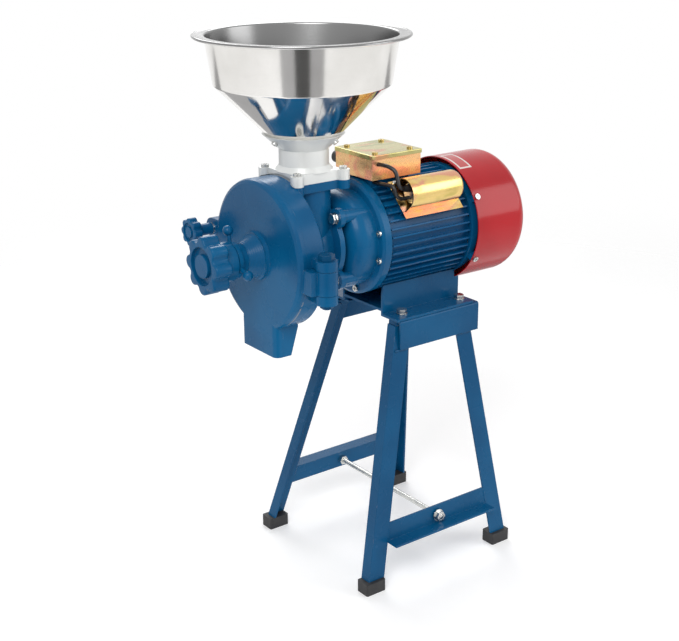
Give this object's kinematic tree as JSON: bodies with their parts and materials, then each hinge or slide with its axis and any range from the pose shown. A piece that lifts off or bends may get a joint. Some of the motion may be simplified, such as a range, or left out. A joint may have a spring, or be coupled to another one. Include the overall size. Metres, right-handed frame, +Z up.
{
  "type": "electric grain mill",
  "caption": "Electric grain mill: a motor on an angle-steel stand drives a disc grinder with an adjusting knob, a hinged cover with a spout, and a steel hopper on top.",
  "frame": {"origin": "on the floor, under the middle of the overall length and on the motor axis", "axes": "+X along the motor axis from the adjusting knob to the fan cover, +Z up, -Y the side with the cover hinge"},
  "size_m": [0.506, 0.29, 0.7838],
  "materials": {
    "blue_stand": "gloss enamel on rolled steel",
    "blue_casting": "gloss enamel over sand-cast iron",
    "bright_zinc": "bright zinc plate",
    "foot_rubber": "moulded black rubber",
    "red_enamel": "gloss enamel on pressed steel",
    "steel": "machined",
    "lamination": "stacked laminations",
    "copper_winding": "varnished copper",
    "yellow_zinc": "yellow iridescent zinc passivate",
    "yellow_zinc_screw": "yellow zinc",
    "black_plastic": "fine matt",
    "rocker_plastic": "gloss",
    "capacitor_can": "drawn can",
    "lead_rubber": "sheathed lead",
    "disc_iron": "white iron, furrowed",
    "seal_rubber": "lip seal",
    "black_steel": "dark oxide",
    "silver_casting": "silver paint on a casting",
    "stainless": "polished stainless steel with a satin band",
    "blue_bolt": "enamelled over",
    "cast_carrier": "as cast",
    "bronze": "turned bronze"
  },
  "bodies": {
    "base": {"near_rail": "blue_stand", "far_rail": "blue_stand", "front_near_leg": "blue_stand", "rear_near_leg": "blue_stand", "front_far_leg": "blue_stand", "rear_far_leg": "blue_stand", "near_crossbar": "blue_stand", "far_crossbar": "blue_stand", "tie_rod": "bright_zinc", "tie_rod_nuts": "bright_zinc", "rubber_feet": "foot_rubber", "motor_saddle": "blue_stand", "foot_bolts": "bright_zinc", "motor_frame": "blue_casting", "front_shield": "blue_casting", "rear_shield": "blue_casting", "shield_screws": "bright_zinc", "fan_cover": "red_enamel", "fan_cover_screws": "bright_zinc", "bearings": "steel", "stator_core": "lamination", "stator_windings": "copper_winding", "terminal_box": "yellow_zinc", "terminal_box_lid": "yellow_zinc", "lid_screws": "yellow_zinc_screw", "cable_gland": "black_plastic", "switch_housing": "black_plastic", "capacitor": "capacitor_can", "capacitor_cover": "yellow_zinc", "capacitor_cover_screws": "bright_zinc", "box_lead": "lead_rubber", "motor_lead": "lead_rubber", "lead_boot": "lead_rubber", "grinder_body": "blue_casting", "fixed_disc": "disc_iron", "disc_bolts": "steel", "shaft_seal": "seal_rubber", "post_bolts": "black_steel", "feed_neck": "silver_casting", "neck_screws": "bright_zinc", "hopper": "stainless", "hopper_screws": "bright_zinc", "hinge_pin": "blue_bolt"},
    "rotor": {"motor_shaft": "steel", "rotor_core": "lamination", "cooling_fan": "black_plastic", "coupling": "steel"},
    "auger_set": {"auger": "steel", "disc_carrier": "cast_carrier", "rotating_disc": "disc_iron", "thrust_ball": "steel", "auger_spring": "steel"},
    "cover": {"front_cover": "blue_casting"},
    "pad": {"thrust_pad": "bronze"},
    "screw": {"adjusting_screw": "steel", "adjusting_knob": "blue_casting"},
    "lock": {"lock_nut": "blue_casting"},
    "washer": {"clamp_washer": "bright_zinc"},
    "clamp": {"clamp_knob": "blue_casting"},
    "rocker": {"switch_rocker": "rocker_plastic"}
  },
  "joints": [
    {"name": "rotor_spin", "type": "hinge", "parent": "base", "child": "rotor", "pos_m": [0, 0, 0.495], "axis": [1, 0, 0], "continuous": true},
    {"name": "auger_slide", "type": "slide", "parent": "rotor", "child": "auger_set", "axis": [-1, 0, 0], "range_m": [-0.00031, 0.00301], "deforming": ["auger_spring"]},
    {"name": "cover_swing", "type": "hinge", "parent": "base", "child": "cover", "pos_m": [-0.138, -0.121, 0.482], "axis": [0, 0, 1], "range_deg": [0, 110]},
    {"name": "screw_feed", "type": "slide", "parent": "cover", "child": "pad", "axis": [-1, 0, 0], "range_m": [-0.00031, 0.00301]},
    {"name": "screw_turn", "type": "hinge", "parent": "pad", "child": "screw", "pos_m": [0, 0, 0.495], "axis": [-1, 0, 0], "range_deg": [-54, 540]},
    {"name": "lock_nut_turn", "type": "hinge", "parent": "cover", "child": "lock", "pos_m": [0, 0, 0.495], "axis": [-1, 0, 0], "range_deg": [0, 60]},
    {"name": "clamp_travel", "type": "slide", "parent": "cover", "child": "washer", "axis": [-1, 0, 0], "range_m": [0, 0.01201]},
    {"name": "clamp_turn", "type": "hinge", "parent": "washer", "child": "clamp", "pos_m": [-0.155, 0.118, 0.507], "axis": [-1, 0, 0], "range_deg": [0, 3456]},
    {"name": "rocker_tilt", "type": "hinge", "parent": "base", "child": "rocker", "pos_m": [0.05, 0.04, 0.5973], "axis": [0, 0, 1], "range_deg": [0, 20]}
  ],
  "couplings": [
    {"joint": "auger_slide", "follows": "screw_turn", "m_per_rad": 0.00031831},
    {"joint": "screw_feed", "follows": "screw_turn", "m_per_rad": 0.00031831},
    {"joint": "clamp_travel", "follows": "clamp_turn", "m_per_rad": 0.00019894}
  ]
}
